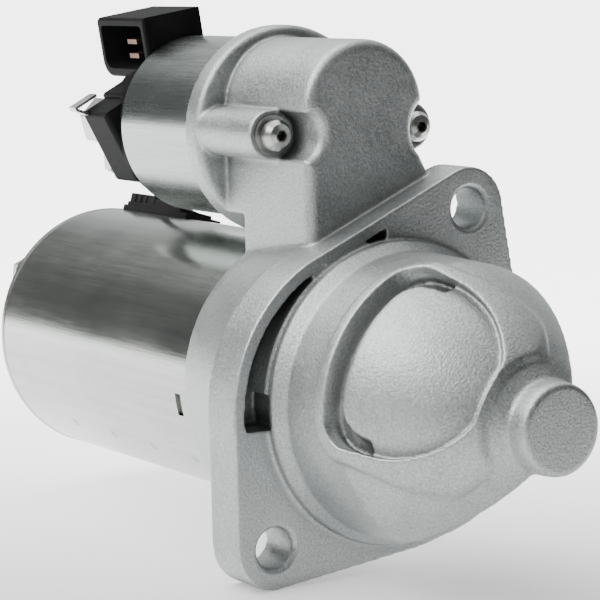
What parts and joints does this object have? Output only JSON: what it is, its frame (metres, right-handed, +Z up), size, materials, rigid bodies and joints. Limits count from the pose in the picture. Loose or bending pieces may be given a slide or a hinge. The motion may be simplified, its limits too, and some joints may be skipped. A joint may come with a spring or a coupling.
{
  "type": "starter motor",
  "caption": "Engine starter: motor with planetary reduction in a cast nose housing, solenoid on top that swings a lever and pushes the pinion out into its side opening.",
  "frame": {"origin": "shaft axis at the front face of the mounting flange, the root of the pilot ring", "axes": "+X along the shaft towards the nose, +Z up to the solenoid, +Y to the side of the upper bolt lug"},
  "size_m": [0.2455, 0.0949, 0.1515],
  "materials": {
    "cast_alloy": "as cast, satin, with fine grain",
    "tube_paint": "grey satin coating",
    "can_paint": "dark grey satin coating",
    "zinc_steel": "bright zinc plating",
    "hard_steel": "ground and oiled",
    "spring_steel": "drawn wire",
    "laminations": "stacked sheet",
    "ferrite": "matte",
    "copper": "bare copper",
    "bronze": "sintered",
    "carbon": "matte",
    "black_plastic": "moulded, slightly satin",
    "rubber": "matte",
    "seal_rubber": "soft green seal"
  },
  "bodies": {
    "housing": {"drive_end_housing": "cast_alloy", "motor_frame": "tube_paint", "rear_end_cap": "zinc_steel", "through_bolts": "zinc_steel", "permanent_magnets": "ferrite", "rear_bush": "bronze", "centre_bush": "bronze", "nose_bush": "bronze", "brush_holder": "black_plastic", "brushes": "carbon", "brush_springs": "spring_steel", "gear_partition": "hard_steel", "ring_gear": "hard_steel", "centre_plate": "hard_steel", "lever_pivot_pin": "hard_steel", "solenoid_can": "can_paint", "solenoid_front_plate": "zinc_steel", "solenoid_bobbin": "black_plastic", "solenoid_coil": "copper", "solenoid_core": "hard_steel", "solenoid_cap": "black_plastic", "signal_blades": "zinc_steel", "socket_seal": "seal_rubber", "battery_terminal": "zinc_steel", "motor_terminal": "zinc_steel", "terminal_nuts": "zinc_steel", "terminal_washers": "zinc_steel", "terminal_tab": "zinc_steel", "motor_lead": "rubber", "lead_grommet": "rubber", "solenoid_screws": "zinc_steel", "plunger_spring": "spring_steel"},
    "armature": {"armature_shaft": "hard_steel", "armature_core": "laminations", "armature_windings": "copper", "commutator": "copper", "sun_gear": "hard_steel"},
    "output": {"output_shaft": "hard_steel", "planet_pins": "hard_steel", "stop_collar": "hard_steel"},
    "planet_1": {"planet_gear_1": "hard_steel"},
    "planet_2": {"planet_gear_2": "hard_steel"},
    "planet_3": {"planet_gear_3": "hard_steel"},
    "clutch": {"clutch_body": "hard_steel", "clutch_cover": "hard_steel", "clutch_rollers": "hard_steel"},
    "pinion": {"pinion": "hard_steel"},
    "lever": {"shift_lever": "black_plastic"},
    "plunger": {"plunger": "hard_steel", "contact_rod": "hard_steel", "contact_disc": "copper"}
  },
  "joints": [
    {"name": "armature_spin", "type": "hinge", "parent": "housing", "child": "armature", "pos_m": [-0.1, 0, 0], "axis": [1, 0, 0], "continuous": true},
    {"name": "output_spin", "type": "hinge", "parent": "housing", "child": "output", "pos_m": [0, 0, 0], "axis": [1, 0, 0], "continuous": true},
    {"name": "planet_1_spin", "type": "hinge", "parent": "output", "child": "planet_1", "pos_m": [-0.054, 0, 0.0162], "axis": [1, 0, 0], "continuous": true},
    {"name": "planet_2_spin", "type": "hinge", "parent": "output", "child": "planet_2", "pos_m": [-0.054, -0.01403, -0.0081], "axis": [1, 0, 0], "continuous": true},
    {"name": "planet_3_spin", "type": "hinge", "parent": "output", "child": "planet_3", "pos_m": [-0.054, 0.01403, -0.0081], "axis": [1, 0, 0], "continuous": true},
    {"name": "clutch_slide", "type": "slide", "parent": "output", "child": "clutch", "axis": [1, 0, 0], "range_m": [0, 0.012]},
    {"name": "pinion_overrun", "type": "hinge", "parent": "clutch", "child": "pinion", "pos_m": [0.02, 0, 0], "axis": [1, 0, 0], "continuous": true},
    {"name": "lever_swing", "type": "hinge", "parent": "housing", "child": "lever", "pos_m": [-0.021, 0, 0.044], "axis": [0, -1, 0], "range_deg": [0, 15.6]},
    {"name": "plunger_slide", "type": "slide", "parent": "housing", "child": "plunger", "axis": [-1, 0, 0], "range_m": [0, 0.0066], "stiffness_N_per_m": 4000, "springref_m": -0.002, "deforming": ["plunger_spring"]}
  ],
  "couplings": [
    {"joint": "output_spin", "follows": "armature_spin", "ratio": 0.18519},
    {"joint": "planet_1_spin", "follows": "armature_spin", "ratio": -0.4793},
    {"joint": "planet_2_spin", "follows": "armature_spin", "ratio": -0.4793},
    {"joint": "planet_3_spin", "follows": "armature_spin", "ratio": -0.4793},
    {"joint": "clutch_slide", "follows": "plunger_slide", "ratio": 1.8182},
    {"joint": "lever_swing", "follows": "plunger_slide", "rad_per_m": 41.253}
  ]
}
